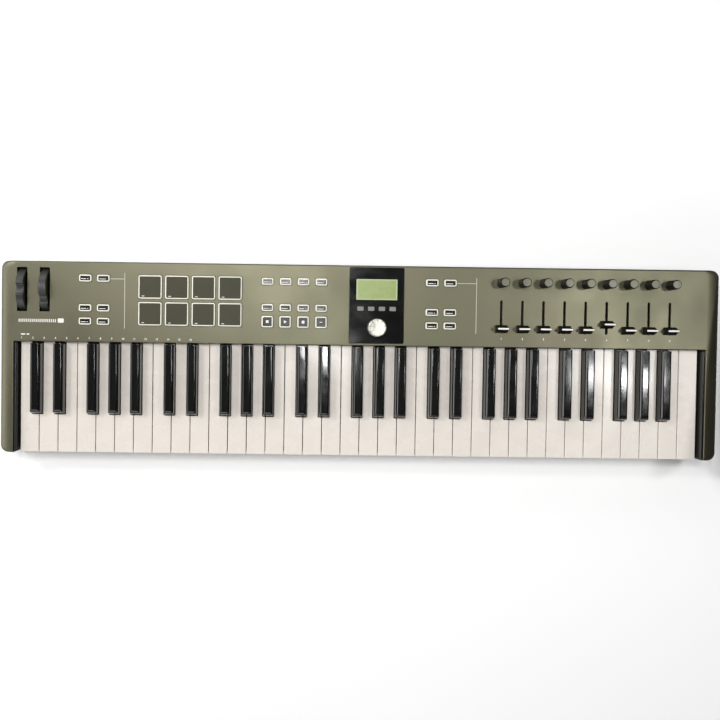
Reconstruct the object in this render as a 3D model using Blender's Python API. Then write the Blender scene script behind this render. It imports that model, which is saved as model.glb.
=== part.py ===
"""61-key synthesizer keyboard: case, hinged key combs, wheels, pads, buttons, knobs and faders.

Driving dimensions are in millimetres and become metres when a mesh is made.
X runs along the keyboard, -Y faces the player, +Z is up and the feet stand on Z = 0.
"""

import math

import bmesh
import bpy
from mathutils import Vector

for old in list(bpy.data.objects):
    bpy.data.objects.remove(old)

MM = 0.001

# Case
WIDTH = 892.0
DEPTH = 237.0
CORNER_R = 9.0
WALL = 2.6
PANEL_Z = 50.0
SEAM_Z = 18.0
FLOOR_Z = 4.3
FLOOR_T = 2.5
FOOT_H = 4.0
FOOT_R = 8.0
CHEEK_IN = 429.0
PANEL_FRONT = 19.0
LIP_BOTTOM = 45.5
FRONT_WALL_Z = 11.5
GAP = 0.3
TOP_BOSS_R = 3.0
TOP_BOSSES = [(x, y) for x in (-293, -134, -28, 66, 156) for y in (34, 109)] + [(412, 60), (412, 109)]
BOARD_POSTS = [(-322, 100), (-213, 100)]
CASE_POSTS = [(-150, 104), (60, 104), (300, 104)]
SOCKET_LEDGE = (-312.0, -216.0, 108.6, 114.6)

# Keys
OCTAVES = 5
KEY_PITCH = 23.5
KEY_GAP = 0.9
WHITE_TOP = 42.2
WHITE_BOTTOM = 22.2
BLACK_TOP = 54.2
BLACK_BOTTOM = 24.0
BLACK_W = 13.5
BLACK_TOP_W = 9.4
BLACK_SLOT = 14.5
BLACK_FRONT = -70.5
BLACK_FRONT_TOP = -63.6
BLACK_REAR = 17.3
KEY_FRONT = -118.3
KEY_REAR = 24.5
KEY_WALL = 1.8
KEY_ROOF = 2.4
NOTCH_GAP = 0.8
ARM_W = 7.0
COMB_END_GAP = 0.5
HINGE_Y = 46.0
HINGE_Z = 30.4
SPINE_Y = (42.0, 50.0)
SPINE_Z = {"naturals_a": 25.8, "naturals_b": 29.0, "sharps": 32.2}
SPINE_T = 2.8
PLUNGER_Y = -25.0
PLUNGER_BOTTOM = 22.4
PLUNGER_W = 4.0

# Key bed
CHASSIS_X = 427.6
CHASSIS_Y = (-113.5, 52.0)
CHASSIS_T = 2.0
END_WALL_X = (424.9, 428.6)
END_WALL_Y = (-117.6, 17.6)
END_WALL_Z = (12.2, 48.9)
END_WALL_STEP = (-115.2, 36.0)
HINGE_WEB = (-426.0, 426.0, 44.6, 47.4)
HINGE_RAIL = (-424.0, 424.0, 41.5, 50.5)
HINGE_RAIL_Z = (23.0, 25.2)
BED_RIBS = ((-49.0, -46.0), (-5.0, -2.0))
BED_RIB_X = 420.0
BED_RIB_TOP = 13.2
CONTACT_BOARD = (-418.0, 418.0, -51.0, 0.0, 13.5, 15.1)
CONTACT_SHEET = (-416.0, 416.0, -34.0, -16.0, 15.4, 17.0)
CONTACT_DOMES = (-415.0, 415.0, -27.0, -23.0, 16.0, 17.4)
STOP_FELT = (-420.0, 420.0, -112.0, -103.0, 9.4, 11.9)

# Panel layout
WHEEL_Y = 83.4
WHEEL_Z = 30.7
WHEEL_R = 29.0
WHEEL_LOW_R = 20.0
WHEEL_W = 10.0
WHEEL_SLOT = (12.4, 54.0)
WHEEL_HALF_TURN = 97
WHEEL_DISH = ((-13, 0.3), (-12.4, 3.0), (-6, 4.0), (6, 4.0), (12.4, 3.0), (13, 0.3))
AXLE_R = 2.4
AXLE_OUT = 5.3
CRADLE_BASE = (-431.0, -379.0, 56.0, 111.0, 7.1, 9.1)
CRADLE_PLATE = (7.6, 10.8)
CRADLE_PLATE_Y = 6.0
CRADLE_PLATE_Z = (8.0, 36.0)
CRADLE_BORE_R = 2.8
PITCH_X = -419.0
MOD_X = -391.2
MOD_REST = 0.48
PAD_X = -261.2
PAD_PITCH = 32.85
PAD_ROWS = (88.0, 55.1)
PAD_SIZE = 28.8
LEFT_X = (-341.2, -318.9)
RIGHT_X = (87.0, 109.5)
SIDE_ROWS = (98.0, 61.5, 45.0)
SIDE_KEY = (15.5, 8.7)
MID_X = -116.5
MID_PITCH = 22.15
MID_ROWS = (97.1, 64.7, 47.4)
MID_KEY = (14.3, 8.7)
CENTRE_X = 18.6
FASCIA = (67.5, 93.2)
FASCIA_Y = 68.9
GLASS = (51.3, 25.5)
GLASS_Y = 88.8
MENU_PITCH = 13.3
MENU_Y = 65.0
MENU_KEY = (8.0, 5.5)
DIAL_Y = 41.5
DIAL_R = 11.0
STRIPS = 9
STRIP_X = 173.3
STRIP_PITCH = 26.2
KNOB_Y = 98.8
KNOB_R = 6.1
KNOB_TOP = 65.9
FADER_Y = (37.2, 77.2)
FADER_REST = 42.2
FADER_RAISED = {6: 7.0}
FADER_CAP = (15.0, 9.5)
FADER_TOP = 60.5
KNOB_HOLE_R = 3.7
KNOB_SHANK = (3.0, 47.2)
CAP_Z = 50.7
FADER_SLOT_W = 2.7
FADER_LEVER = (1.2, 4.0, 43.4)
KEY_HOLE_GAP = 0.8
FASCIA_Z = (48.9, 50.4)
FASCIA_BED = 1.4
MODULE = (58.0, 34.0)
MODULE_Z = (41.0, 47.0)
GLASS_TOP = 50.0
ROTOR_R = (2.5, 4.6)
ROTOR_Z = (45.8, 48.0)
DIAL_Z = (49.2, 61.6)
DIAL_STEM = (2.1, 46.6)
BOARD_Z = (39.0, 40.6)
CONTROL_BOARD = (-365.0, 428.0, 27.5, 112.0)
MAIN_BOARD = (-330.0, -205.0, 88.0, 108.2)
MAIN_BOARD_Z = (17.0, 18.6)
PART_TOP = 46.7
MAT_Z = (41.9, 43.0)
PAD_TOP = 51.8
BUTTON_TOP = 51.3
MENU_TOP = 51.0
SOCKETS = {"midi_socket": -300.0, "usb_socket": -262.0, "pedal_socket": -226.0}
SOCKET_Z = 18.9
SOCKET_BACK = DEPTH / 2 - 0.4
SOCKET_HOLES = {"midi_socket": (19.6, 18.8), "usb_socket": (12.6, 11.3), "pedal_socket": (15.6, 14.3)}


def material(name, colour, roughness, metallic=0.0):
    found = bpy.data.materials.get(name)
    if found:
        return found
    made = bpy.data.materials.new(name)
    made.use_nodes = True
    shader = made.node_tree.nodes["Principled BSDF"]
    shader.inputs["Base Color"].default_value = (*colour, 1.0)
    shader.inputs["Roughness"].default_value = roughness
    shader.inputs["Metallic"].default_value = metallic
    return made


OLIVE = material("olive_bronze_plastic", (0.18, 0.17, 0.125), 0.45, 0.2)
BLACK = material("black_plastic", (0.015, 0.015, 0.015), 0.4)
GLOSS = material("gloss_black_plastic", (0.012, 0.012, 0.012), 0.12)
IVORY = material("white_key_plastic", (0.80, 0.77, 0.72), 0.25)
CREAM = material("cream_silicone", (0.62, 0.59, 0.48), 0.5)
RUBBER = material("black_rubber", (0.02, 0.02, 0.02), 0.8)
FELT = material("red_felt", (0.25, 0.03, 0.03), 0.95)
BOARD = material("green_board", (0.02, 0.12, 0.05), 0.4)
SILVER = material("spun_aluminium", (0.8, 0.8, 0.78), 0.25, 1.0)
LCD = material("display_green", (0.40, 0.50, 0.20), 0.2)
TIN = material("plated_steel", (0.55, 0.55, 0.55), 0.3, 1.0)


def box(x0, x1, y0, y1, z0, z1):
    return prism([(x0, y0), (x1, y0), (x1, y1), (x0, y1)], z0, z1)


def block(cx, cy, width, depth, z0, z1):
    return box(cx - width / 2, cx + width / 2, cy - depth / 2, cy + depth / 2, z0, z1)


def prism(outline, z0, z1):
    """An outline in XY, extruded from z0 to z1."""
    return loft([[(x, y, z0) for x, y in outline], [(x, y, z1) for x, y in outline]])


def prism_x(outline, x0, x1):
    """An outline in YZ, extruded along X."""
    return loft([[(x0, y, z) for y, z in outline], [(x1, y, z) for y, z in outline]])


def loft(rings):
    """Closed skin over rings that all have the same number of points."""
    count = len(rings[0])
    points = [point for ring in rings for point in ring]
    faces = [list(range(count)), list(range(len(points) - count, len(points)))]
    for level in range(len(rings) - 1):
        base = level * count
        for i in range(count):
            j = (i + 1) % count
            faces.append([base + i, base + j, base + count + j, base + count + i])
    return points, faces


def circle(cx, cy, radius, count):
    steps = [2 * math.pi * (i + 0.5) / count for i in range(count)]
    return [(cx + radius * math.cos(a), cy + radius * math.sin(a)) for a in steps]


def cylinder(cx, cy, radius, z0, z1, count=16):
    return prism(circle(cx, cy, radius, count), z0, z1)


def turned(cx, cy, profile, count=16):
    """A round piece from (radius, z) pairs, bottom to top."""
    return loft([[(x, y, z) for x, y in circle(cx, cy, r, count)] for r, z in profile])


def rounded(x0, x1, y0, y1, radius, steps=5):
    outline = []
    corners = ((x1, y0, -90), (x1, y1, 0), (x0, y1, 90), (x0, y0, 180))
    for x, y, start in corners:
        cx = x - radius if x == x1 else x + radius
        cy = y - radius if y == y1 else y + radius
        for i in range(steps + 1):
            angle = math.radians(start + 90 * i / steps)
            outline.append((cx + radius * math.cos(angle), cy + radius * math.sin(angle)))
    return outline


def mesh_object(name, solids, origin=(0, 0, 0)):
    """One object from closed skins in millimetres, with its origin at a point in millimetres."""
    whole = bmesh.new()
    for points, faces in solids:
        made = [whole.verts.new((Vector(p) - Vector(origin)) * MM) for p in points]
        skin = [whole.faces.new([made[i] for i in face]) for face in faces]
        bmesh.ops.recalc_face_normals(whole, faces=skin)
    data = bpy.data.meshes.new(name)
    whole.to_mesh(data)
    whole.free()
    made = bpy.data.objects.new(name, data)
    made.location = Vector(origin) * MM
    bpy.context.scene.collection.objects.link(made)
    return made


def helper(name, solids):
    made = mesh_object(name, solids)
    made.hide_render = True
    made.display_type = "WIRE"
    return made


def combine(piece, kind, solids, tag):
    step = piece.modifiers.new(tag, "BOOLEAN")
    step.operation = kind
    step.solver = "EXACT"
    step.use_self = len(solids) > 1
    step.object = helper(piece.name + "." + tag, solids)


def piece(name, look, adds, cuts=(), late=(), origin=(0, 0, 0), smooth=False):
    """A node: the first solid, joined to the rest, cut, then joined to the late ones."""
    made = mesh_object(name, adds[:1], origin)
    if len(adds) > 1:
        combine(made, "UNION", adds[1:], "join")
    if cuts:
        combine(made, "DIFFERENCE", cuts, "cut")
    if late:
        combine(made, "UNION", late, "late")
    made.data.materials.append(look)
    if smooth:
        made.data.shade_smooth()
        made.data.set_sharp_from_angle(angle=0.7)
    return made


# Key layout

def black_centres(start):
    """Centres of the five sharps of the octave that starts at this X, with their left naturals."""
    near = 3 * KEY_PITCH / 5
    far = 4 * KEY_PITCH / 7
    middle = start + 3 * KEY_PITCH
    return {
        0: start + 1.5 * near,
        1: start + 3.5 * near,
        3: middle + 1.5 * far,
        4: middle + 3.5 * far,
        5: middle + 5.5 * far,
    }


def white_outline(start, degree, wall=0.0, top_key=False):
    """Outline of one natural: wide at the front, narrowed beside the sharps."""
    sharps = black_centres(start)
    left = start + degree * KEY_PITCH + KEY_GAP / 2 + wall
    right = start + (degree + 1) * KEY_PITCH - KEY_GAP / 2 - wall
    inner_left = left
    inner_right = right
    if degree - 1 in sharps:
        inner_left = sharps[degree - 1] + BLACK_SLOT / 2 + wall
    if degree in sharps and not top_key:
        inner_right = sharps[degree] - BLACK_SLOT / 2 - wall
    notch = BLACK_FRONT - NOTCH_GAP - wall
    front = KEY_FRONT + wall
    rear = KEY_REAR - wall
    outline = [(left, front), (right, front)]
    if inner_right != right:
        outline += [(right, notch), (inner_right, notch)]
    outline += [(inner_right, rear), (inner_left, rear)]
    if inner_left != left:
        outline += [(inner_left, notch), (left, notch)]
    return outline


def white_parts(start, degree, top_key=False):
    """Body, hollow, plunger and arm centre of one natural."""
    body = prism(white_outline(start, degree, 0.0, top_key), WHITE_BOTTOM, WHITE_TOP)
    inner = white_outline(start, degree, KEY_WALL, top_key)
    hollow = prism(inner, WHITE_BOTTOM - 2, WHITE_TOP - KEY_ROOF)
    rear = [x for x, y in inner if y == KEY_REAR - KEY_WALL]
    centre = sum(rear) / 2
    plunger = block(centre, PLUNGER_Y, PLUNGER_W, PLUNGER_W, PLUNGER_BOTTOM, WHITE_TOP - 1)
    return body, hollow, plunger, centre


def black_parts(centre):
    """Body, raised top, hollow and plunger of one sharp."""
    half = BLACK_W / 2
    top = BLACK_TOP_W / 2
    body = box(centre - half, centre + half, BLACK_FRONT, KEY_REAR, BLACK_BOTTOM, WHITE_TOP)
    lower = [(-half, BLACK_FRONT), (half, BLACK_FRONT), (half, BLACK_REAR), (-half, BLACK_REAR)]
    upper = [(-top, BLACK_FRONT_TOP), (top, BLACK_FRONT_TOP), (top, BLACK_REAR), (-top, BLACK_REAR)]
    rings = [[(centre + x, y, z) for x, y in ring]
             for ring, z in ((lower, WHITE_TOP - 1), (lower, WHITE_TOP + 0.5), (upper, BLACK_TOP))]
    wall = KEY_WALL
    hollow = box(centre - half + wall, centre + half - wall, BLACK_FRONT + wall + 1,
                 KEY_REAR - wall, BLACK_BOTTOM - 2, WHITE_TOP - KEY_ROOF)
    plunger = block(centre, PLUNGER_Y, PLUNGER_W, PLUNGER_W, PLUNGER_BOTTOM, WHITE_TOP - 1)
    return body, loft(rings), hollow, plunger


def comb(name, look, bodies, hollows, plungers, centres, level, x0, x1):
    """Keys joined by arms to one rear spine, turning about the common key hinge."""
    spine = box(x0, x1, SPINE_Y[0], SPINE_Y[1], level, level + SPINE_T)
    reach = SPINE_Y[0] - KEY_REAR + 2
    arms = [block(c, (KEY_REAR + SPINE_Y[0]) / 2, ARM_W, reach, level, level + SPINE_T) for c in centres]
    middle = (x0 + x1) / 2
    piece(name, look, [spine] + arms + bodies, hollows, plungers, (middle, HINGE_Y, HINGE_Z))


def key_combs():
    first = -KEY_PITCH * (7 * OCTAVES + 1) / 2
    for octave in range(OCTAVES):
        start = first + 7 * KEY_PITCH * octave
        last = octave == OCTAVES - 1
        for kind, degrees in (("naturals_a", (0, 2, 4, 6)), ("naturals_b", (1, 3, 5))):
            keys = [white_parts(start, d) for d in degrees]
            end = start + 7 * KEY_PITCH
            if last and kind == "naturals_a":
                keys.append(white_parts(end, 0, top_key=True))
                end += KEY_PITCH
            bodies, hollows, plungers, centres = zip(*keys)
            comb(f"keys_{kind}_{octave + 1}", IVORY, list(bodies), list(hollows), list(plungers), centres,
                 SPINE_Z[kind], start + COMB_END_GAP, end - COMB_END_GAP)
        centres = list(black_centres(start).values())
        bodies, tops, hollows, plungers = zip(*[black_parts(c) for c in centres])
        comb(f"keys_sharps_{octave + 1}", GLOSS, list(bodies + tops), list(hollows), list(plungers), centres,
             SPINE_Z["sharps"], start + COMB_END_GAP, start + 7 * KEY_PITCH - COMB_END_GAP)


# Panel cut-outs

def strips():
    return [STRIP_X + STRIP_PITCH * i for i in range(STRIPS)]


def pad_spots():
    return [(PAD_X + PAD_PITCH * i, y) for y in PAD_ROWS for i in range(4)]


def side_spots(columns):
    return [(x, y, *SIDE_KEY) for y in SIDE_ROWS for x in columns]


def mid_spots():
    depths = (MID_KEY[1], MID_KEY[1], MID_KEY[0])
    return [(MID_X + MID_PITCH * i, y, MID_KEY[0], d) for y, d in zip(MID_ROWS, depths) for i in range(4)]


def menu_spots():
    return [(CENTRE_X + MENU_PITCH * (i - 1.5), MENU_Y, *MENU_KEY) for i in range(4)]


def control_holes():
    """Cutters for all that reaches through the panel: wheels, pads, buttons, knobs and faders."""
    low, high = PANEL_Z - 5, PANEL_Z + 5
    spare = KEY_HOLE_GAP
    cuts = [block(x, WHEEL_Y, *WHEEL_SLOT, low, high) for x in (PITCH_X, MOD_X)]
    cuts += [block(x, y, PAD_SIZE + spare, PAD_SIZE + spare, low, high) for x, y in pad_spots()]
    for x, y, w, d in side_spots(LEFT_X) + side_spots(RIGHT_X) + mid_spots():
        cuts.append(block(x, y, w + spare, d + spare, low, high))
    for x in strips():
        cuts.append(cylinder(x, KNOB_Y, KNOB_HOLE_R, low, high, 12))
        cuts.append(block(x, sum(FADER_Y) / 2, FADER_SLOT_W, FADER_Y[1] - FADER_Y[0], low, high))
    return cuts


def display_holes():
    """The bed that the fascia lies in, and the holes under it."""
    low, high = PANEL_Z - 5, PANEL_Z + 1
    width, depth = (side + 2 * GAP for side in FASCIA)
    bed = block(CENTRE_X, FASCIA_Y, width, depth, PANEL_Z - FASCIA_BED, PANEL_Z + 5)
    return [
        bed,
        block(CENTRE_X, GLASS_Y, GLASS[0] + 1.6, GLASS[1] + 1.6, low, high),
        block(CENTRE_X, MENU_Y, MENU_PITCH * 3 + 10, MENU_KEY[1] + 2, low, high),
        cylinder(CENTRE_X, DIAL_Y, DIAL_R + 1.6, low, high, 24),
    ]


def top_case():
    half_w, half_d = WIDTH / 2, DEPTH / 2
    below = SEAM_Z - 2
    inner_r = CORNER_R - WALL
    outer = prism(rounded(-half_w, half_w, -half_d, half_d, CORNER_R), SEAM_Z + GAP, PANEL_Z)
    inner = prism(rounded(-half_w + WALL, half_w - WALL, PANEL_FRONT + WALL, half_d - WALL, inner_r),
                  below, PANEL_Z - WALL)
    well = box(-CHEEK_IN, CHEEK_IN, -half_d - 5, PANEL_FRONT, below, PANEL_Z + 5)
    lip = box(-CHEEK_IN, CHEEK_IN, PANEL_FRONT - 1, PANEL_FRONT + WALL + 1, below, LIP_BOTTOM)
    cuts = [inner, well, lip]
    for side in (-1, 1):
        ends = sorted((side * (CHEEK_IN + WALL), side * (half_w - WALL)))
        cheek = rounded(*ends, -half_d + WALL, PANEL_FRONT + 12, 4.0)
        cuts.append(prism(cheek, below, PANEL_Z - WALL))
    for name, (width, height) in SOCKET_HOLES.items():
        cuts.append(block(SOCKETS[name], half_d, width, 9, SOCKET_Z - GAP, SOCKET_Z + height))
    bosses = [cylinder(x, y, TOP_BOSS_R, BOARD_Z[1] + GAP, PANEL_Z - 1, 8) for x, y in TOP_BOSSES]
    piece("top_case", OLIVE, [outer], cuts + control_holes() + display_holes(), bosses)


def bottom_case():
    half_w, half_d = WIDTH / 2, DEPTH / 2
    above = SEAM_Z + 5
    inside = FLOOR_Z + 1
    outer = prism(rounded(-half_w, half_w, -half_d, half_d, CORNER_R), FLOOR_Z, SEAM_Z)
    inner = prism(rounded(-half_w + WALL, half_w - WALL, -half_d + WALL, half_d - WALL, CORNER_R - WALL),
                  FLOOR_Z + FLOOR_T, above)
    front = box(-CHEEK_IN, CHEEK_IN, -half_d - 5, -half_d + WALL + 2, FRONT_WALL_Z, above)
    late = [cylinder(x, y, 3.0, inside, MAIN_BOARD_Z[0] - GAP, 8) for x, y in BOARD_POSTS]
    late += [cylinder(x, y, 4.0, inside, SEAM_Z, 8) for x, y in CASE_POSTS]
    late.append(box(*SOCKET_LEDGE, inside, SEAM_Z))
    piece("bottom_case", BLACK, [outer], [inner, front], late)


# Key bed

def key_chassis():
    low = FLOOR_Z + FLOOR_T + GAP
    adds = [box(-CHASSIS_X, CHASSIS_X, *CHASSIS_Y, low, low + CHASSIS_T)]
    front, rear = END_WALL_Y
    foot, top = END_WALL_Z
    step_y, step_z = END_WALL_STEP
    side_view = [(front, foot), (step_y, foot), (step_y, low), (CHASSIS_Y[1], low), (CHASSIS_Y[1], step_z),
                 (rear, step_z), (rear, top), (front, top)]
    for side in (-1, 1):
        adds.append(prism_x(side_view, *sorted(side * x for x in END_WALL_X)))
    adds.append(box(*HINGE_WEB, low + 1, HINGE_RAIL_Z[1] - 0.2))
    adds.append(box(*HINGE_RAIL, *HINGE_RAIL_Z))
    for rib in BED_RIBS:
        adds.append(box(-BED_RIB_X, BED_RIB_X, *rib, low + 1, BED_RIB_TOP))
    piece("key_chassis", BLACK, adds)


def keybed():
    piece("key_contact_board", BOARD, [box(*CONTACT_BOARD)])
    piece("key_contact_rubber", RUBBER, [box(*CONTACT_SHEET), box(*CONTACT_DOMES)])
    piece("key_stop_felt", FELT, [box(*STOP_FELT)])


# Wheels

def wheel_outline():
    """A wide rim over the upper half with a finger dish on top, and a smaller lower part."""
    rim = [(WHEEL_R, degrees) for degrees in range(1 - WHEEL_HALF_TURN, WHEEL_HALF_TURN, 8)]
    dish = [(WHEEL_R - depth, degrees) for degrees, depth in WHEEL_DISH]
    low = [(WHEEL_LOW_R, degrees) for degrees in range(104, 257, 19)]
    edge = WHEEL_DISH[-1][0]
    before = [spot for spot in rim if spot[1] < -edge]
    after = [spot for spot in rim if spot[1] >= edge]
    turns = [(r, math.radians(degrees)) for r, degrees in before + dish + after + low]
    return [(r * math.sin(a), r * math.cos(a)) for r, a in turns]


def wheel(name, x, turn):
    cos, sin = math.cos(turn), math.sin(turn)
    placed = [(WHEEL_Y + y * cos - z * sin, WHEEL_Z + y * sin + z * cos) for y, z in wheel_outline()]
    half = WHEEL_W / 2
    body = prism_x(placed, x - half, x + half)
    axle = [(WHEEL_Y + y, WHEEL_Z + z) for y, z in circle(0, 0, AXLE_R, 12)]
    pin = prism_x(axle, x - half - AXLE_OUT, x + half + AXLE_OUT)
    piece(name, BLACK, [body, pin], origin=(x, WHEEL_Y, WHEEL_Z), smooth=True)


def wheel_cradle():
    plates = []
    for x in (PITCH_X, MOD_X):
        for side in (-1, 1):
            ends = sorted(x + side * out for out in CRADLE_PLATE)
            plates.append(box(*ends, WHEEL_Y - CRADLE_PLATE_Y, WHEEL_Y + CRADLE_PLATE_Y, *CRADLE_PLATE_Z))
    bore = [(WHEEL_Y + y, WHEEL_Z + z) for y, z in circle(0, 0, CRADLE_BORE_R, 12)]
    through = prism_x(bore, CRADLE_BASE[0] - 9, CRADLE_BASE[1] + 9)
    piece("wheel_cradle", BLACK, [box(*CRADLE_BASE)] + plates, [through])


# Pads and buttons

def mat(name, spots, sheet, top):
    """A silicone sheet with raised key tops that pass through the panel."""
    tops = [block(x, y, w, d, MAT_Z[0] + 0.4, top) for x, y, w, d in spots]
    middle = ((sheet[0] + sheet[1]) / 2, (sheet[2] + sheet[3]) / 2, MAT_Z[1])
    piece(name, CREAM, [box(*sheet, *MAT_Z)] + tops, origin=middle)


def mats():
    pads = [(x, y, PAD_SIZE, PAD_SIZE) for x, y in pad_spots()]
    mat("pad_mat", pads, (-279, -144.5, 38, 105), PAD_TOP)
    mat("button_mat_left", side_spots(LEFT_X), (-351, -309, 38.5, 104), BUTTON_TOP)
    mat("button_mat_middle", mid_spots(), (-126, -40.5, 38, 103.5), BUTTON_TOP)
    mat("button_mat_right", side_spots(RIGHT_X), (77, 119.5, 38.5, 104), BUTTON_TOP)
    mat("button_mat_display", menu_spots(), (CENTRE_X - 26, CENTRE_X + 26, 60.4, 69.6), MENU_TOP)


# Display and dial

def display():
    half_w, half_d = FASCIA[0] / 2, FASCIA[1] / 2
    sides = (CENTRE_X - half_w, CENTRE_X + half_w, FASCIA_Y - half_d, FASCIA_Y + half_d)
    outline = rounded(*sides, 1.5, 3)
    low, high = FASCIA_Z[0] - 2, FASCIA_Z[1] + 2
    cuts = [block(CENTRE_X, GLASS_Y, GLASS[0] + 2 * GAP, GLASS[1] + 2 * GAP, low, high)]
    cuts += [block(x, y, w + 2 * GAP, d + 2 * GAP, low, high) for x, y, w, d in menu_spots()]
    cuts.append(cylinder(CENTRE_X, DIAL_Y, DIAL_R + 1.3, low, high, 24))
    piece("display_fascia", GLOSS, [prism(outline, *FASCIA_Z)], cuts)
    piece("display_module", LCD, [block(CENTRE_X, GLASS_Y, *MODULE, *MODULE_Z),
                                  block(CENTRE_X, GLASS_Y, *GLASS, MODULE_Z[1] - 1, GLASS_TOP)])


def dial():
    shaft = (CENTRE_X, DIAL_Y)
    inner, outer = ROTOR_R
    low, high = ROTOR_Z
    piece("encoder_rotor", TIN, [cylinder(*shaft, outer, low, high)],
          [cylinder(*shaft, inner, low - 2, high + 2, 12)], origin=(*shaft, low), smooth=True)
    low, high = DIAL_Z
    profile = [(DIAL_R - 0.6, low), (DIAL_R, low + 0.6), (DIAL_R, high - 1), (DIAL_R - 1, high)]
    cap = turned(*shaft, profile, 28)
    stem_r, stem_z = DIAL_STEM
    piece("encoder_knob", SILVER, [cap, cylinder(*shaft, stem_r, stem_z, low + 3, 12)],
          origin=(*shaft, low), smooth=True)


# Knobs, faders and boards

def knob(number, x):
    shank_r, shank_z = KNOB_SHANK
    cap = turned(x, KNOB_Y, [(KNOB_R, CAP_Z), (KNOB_R, KNOB_TOP - 1.2), (KNOB_R - 1.2, KNOB_TOP)], 20)
    piece(f"knob_{number}", BLACK, [cap, cylinder(x, KNOB_Y, shank_r, shank_z, CAP_Z + 1, 10)],
          origin=(x, KNOB_Y, CAP_Z), smooth=True)


def fader(number, x):
    """A cap that narrows to a ridge, on a lever through the slot."""
    y = FADER_REST + FADER_RAISED.get(number, 0.0)
    w, d = FADER_CAP[0] / 2, FADER_CAP[1] / 2
    levels = ((w, d, CAP_Z), (w, d, CAP_Z + 1.5), (w - 0.3, 2.0, FADER_TOP - 1.2), (w - 0.6, 1.2, FADER_TOP))
    rings = [[(px, py, z) for px, py in ((x - half_w, y - half_d), (x + half_w, y - half_d),
                                         (x + half_w, y + half_d), (x - half_w, y + half_d))]
             for half_w, half_d, z in levels]
    lever_w, lever_d, lever_z = FADER_LEVER
    lever = block(x, y, lever_w, lever_d, lever_z, CAP_Z + 1)
    piece(f"fader_{number}", BLACK, [loft(rings), lever], origin=(x, y, CAP_Z))


def control_strips():
    for number, x in enumerate(strips(), 1):
        knob(number, x)
        fader(number, x)


def boards():
    """The board under the panel with its rotary and slide parts, and the one that carries the sockets."""
    low = BOARD_Z[1] - 0.6
    middle = sum(FADER_Y) / 2
    parts = [block(x, KNOB_Y, 11, 11, low, PART_TOP) for x in strips()]
    parts += [block(x, middle, 8, 52, low, PART_TOP) for x in strips()]
    parts.append(block(CENTRE_X, DIAL_Y, 12, 12, low, ROTOR_Z[0] - GAP))
    grooves = [block(x, middle, 2.2, 45, FADER_LEVER[2] - 1, PART_TOP + 2) for x in strips()]
    piece("control_board", BOARD, [box(*CONTROL_BOARD, *BOARD_Z)] + parts, grooves)
    piece("main_board", BOARD, [box(*MAIN_BOARD, *MAIN_BOARD_Z)])


# Sockets

def socket_body(name, width, front, height):
    x = SOCKETS[name]
    return box(x - width / 2, x + width / 2, front, SOCKET_BACK, SOCKET_Z, SOCKET_Z + height)


def round_bore(name, up, radius, deep, count):
    x, z = SOCKETS[name], SOCKET_Z + up
    ring = [(x + dx, z + dz) for dx, dz in circle(0, 0, radius, count)]
    return loft([[(px, y, pz) for px, pz in ring] for y in (SOCKET_BACK - deep, SOCKET_BACK + 3)])


def sockets():
    piece("midi_socket", BLACK, [socket_body("midi_socket", 19.0, 100, 18.4)],
          [round_bore("midi_socket", 9.3, 7.2, 10, 20)])
    mouth = block(SOCKETS["usb_socket"], SOCKET_BACK, 8.6, 20, SOCKET_Z + 1.6, SOCKET_Z + 9.4)
    piece("usb_socket", TIN, [socket_body("usb_socket", 12.0, 102, 10.9)], [mouth])
    piece("pedal_socket", BLACK, [socket_body("pedal_socket", 14.8, 90, 13.9)],
          [round_bore("pedal_socket", 7.0, 3.3, 25, 16)])


def feet():
    spots = [(x, y) for y in (-92, 92) for x in (-400, 400)]
    for number, (x, y) in enumerate(spots, 1):
        foot = turned(x, y, [(FOOT_R - 1.0, 0.0), (FOOT_R, 1.0), (FOOT_R, FOOT_H)], 14)
        piece(f"foot_{number}", RUBBER, [foot], smooth=True)


top_case()
bottom_case()
key_chassis()
keybed()
key_combs()
wheel_cradle()
wheel("pitch_wheel", PITCH_X, 0.0)
wheel("mod_wheel", MOD_X, MOD_REST)
mats()
display()
dial()
control_strips()
boards()
sockets()
feet()
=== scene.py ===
"""Looks of a 61-key synthesizer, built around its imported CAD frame.

Lengths are in millimetres until a mesh is made, in the frame's own axes: X runs along the keyboard,
-Y faces the player and the feet stand on Z = 0.
"""
import math

import bmesh
import bpy
from mathutils import Matrix, Vector

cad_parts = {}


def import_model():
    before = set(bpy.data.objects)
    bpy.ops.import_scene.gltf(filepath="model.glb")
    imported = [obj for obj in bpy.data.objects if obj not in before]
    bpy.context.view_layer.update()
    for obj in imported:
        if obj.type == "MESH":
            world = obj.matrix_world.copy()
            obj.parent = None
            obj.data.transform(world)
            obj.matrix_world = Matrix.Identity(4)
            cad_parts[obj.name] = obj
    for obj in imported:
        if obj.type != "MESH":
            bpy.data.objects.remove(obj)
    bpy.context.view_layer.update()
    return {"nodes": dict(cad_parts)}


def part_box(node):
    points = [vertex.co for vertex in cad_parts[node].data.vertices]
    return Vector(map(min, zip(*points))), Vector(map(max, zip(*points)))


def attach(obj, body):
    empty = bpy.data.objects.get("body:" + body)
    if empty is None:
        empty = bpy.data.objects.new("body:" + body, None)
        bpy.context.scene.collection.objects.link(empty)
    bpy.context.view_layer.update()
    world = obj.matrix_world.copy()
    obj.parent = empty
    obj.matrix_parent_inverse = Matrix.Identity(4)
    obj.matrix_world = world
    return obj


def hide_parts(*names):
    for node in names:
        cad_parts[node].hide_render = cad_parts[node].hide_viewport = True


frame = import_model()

MM = 0.001


def node_box(name):
    low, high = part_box(name)
    return low / MM, high / MM


# Places read from the frame

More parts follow.
